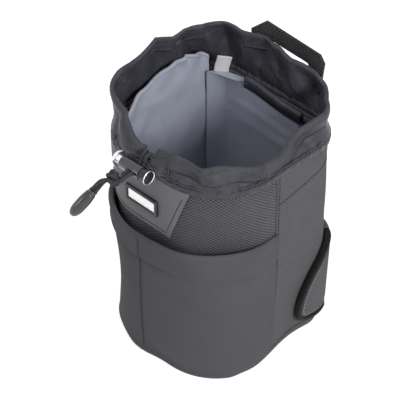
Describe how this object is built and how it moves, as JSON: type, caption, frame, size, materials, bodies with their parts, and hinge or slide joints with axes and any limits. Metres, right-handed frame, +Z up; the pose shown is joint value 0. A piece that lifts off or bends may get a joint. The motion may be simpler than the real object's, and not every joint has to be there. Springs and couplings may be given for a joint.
{
  "type": "lens pouch",
  "caption": "Upright padded pouch with a drawcord collar, stretch front pocket, grab handle and belt carrier, for carrying a camera lens.",
  "frame": {"origin": "on the floor under the middle of the pouch's base", "axes": "+Z up; the front with the pocket and badge faces -Y, the belt carrier faces +Y"},
  "size_m": [0.1406, 0.1896, 0.223],
  "materials": {
    "dobby_weave": "coarse dobby weave, matt",
    "nylon_weave": "fine nylon weave, matt",
    "stretch_knit": "smooth stretch knit",
    "ripstop": "coated ripstop, slight sheen",
    "lining": "soft brushed lining",
    "foam": "closed-cell foam",
    "label": "white satin tape",
    "patch": "smooth leather-look patch",
    "badge_black": "moulded, satin",
    "badge_silver": "bare plate",
    "webbing": "ribbed nylon webbing",
    "carrier_face": "coarse nylon",
    "binding": "grosgrain binding",
    "hook_loop": "hook and loop tape",
    "gunmetal": "satin gunmetal",
    "chrome": "polished",
    "cord": "braided cord",
    "pull": "gloss moulded"
  },
  "bodies": {
    "pouch": {"outer_front_panel": "dobby_weave", "outer_rear_panel": "nylon_weave", "base_panel": "nylon_weave", "base_foam": "foam", "liner_floor": "lining", "wall_foam": "foam", "liner_wrap": "lining", "liner_back_panel": "lining", "care_label": "label", "collar": "ripstop", "collar_seam_band": "ripstop", "collar_hem_channel": "ripstop", "cord_exit_patch": "ripstop", "front_pocket": "stretch_knit", "pocket_hem": "stretch_knit", "front_patch": "patch", "badge_frame": "badge_black", "badge_plate": "badge_silver", "belt_carrier": "carrier_face", "belt_loop": "webbing", "side_loop_tape_right": "hook_loop", "side_loop_tape_left": "hook_loop", "handle_anchor_left": "webbing", "handle_anchor_right": "webbing", "drawcord": "cord"},
    "handle": {"grab_handle": "webbing"},
    "wing_right": {"wing_right_hook_tape": "hook_loop", "wing_right_pad": "carrier_face", "wing_right_binding": "binding"},
    "wing_left": {"wing_left_hook_tape": "hook_loop", "wing_left_pad": "carrier_face", "wing_left_binding": "binding"},
    "cord_lock": {"cord_lock_barrel": "gunmetal", "cord_lock_end_cap": "chrome", "cord_lock_spring": "chrome"},
    "plunger": {"cord_lock_plunger": "chrome"},
    "cord_end": {"cord_knot": "cord", "cord_tail": "cord", "cord_end_shell_front": "pull", "cord_end_shell_back": "pull"}
  },
  "joints": [
    {"name": "handle_fold", "type": "hinge", "parent": "pouch", "child": "handle", "pos_m": [0.004, 0.0645, 0.171], "axis": [1, 0, 0], "range_deg": [-110, 0]},
    {"name": "wing_right_peel", "type": "hinge", "parent": "pouch", "child": "wing_right", "pos_m": [0.0594, 0.0595, 0.054], "axis": [0, 0, 1], "range_deg": [0, 100]},
    {"name": "wing_left_peel", "type": "hinge", "parent": "pouch", "child": "wing_left", "pos_m": [-0.0594, 0.0595, 0.054], "axis": [0, 0, -1], "range_deg": [0, 100]},
    {"name": "lock_slide", "type": "slide", "parent": "pouch", "child": "cord_lock", "axis": [0, -1, 0], "range_m": [0, 0.003]},
    {"name": "plunger_press", "type": "slide", "parent": "cord_lock", "child": "plunger", "axis": [1, 0, 0], "range_m": [0, 0.003], "stiffness_N_per_m": 400, "springref_m": -0.002, "deforming": ["cord_lock_spring"]},
    {"name": "cord_end_swing", "type": "hinge", "parent": "pouch", "child": "cord_end", "pos_m": [-0.0125, -0.0935, 0.1808], "axis": [0.71, -0.7042, 0], "range_deg": [-60, 38]}
  ]
}
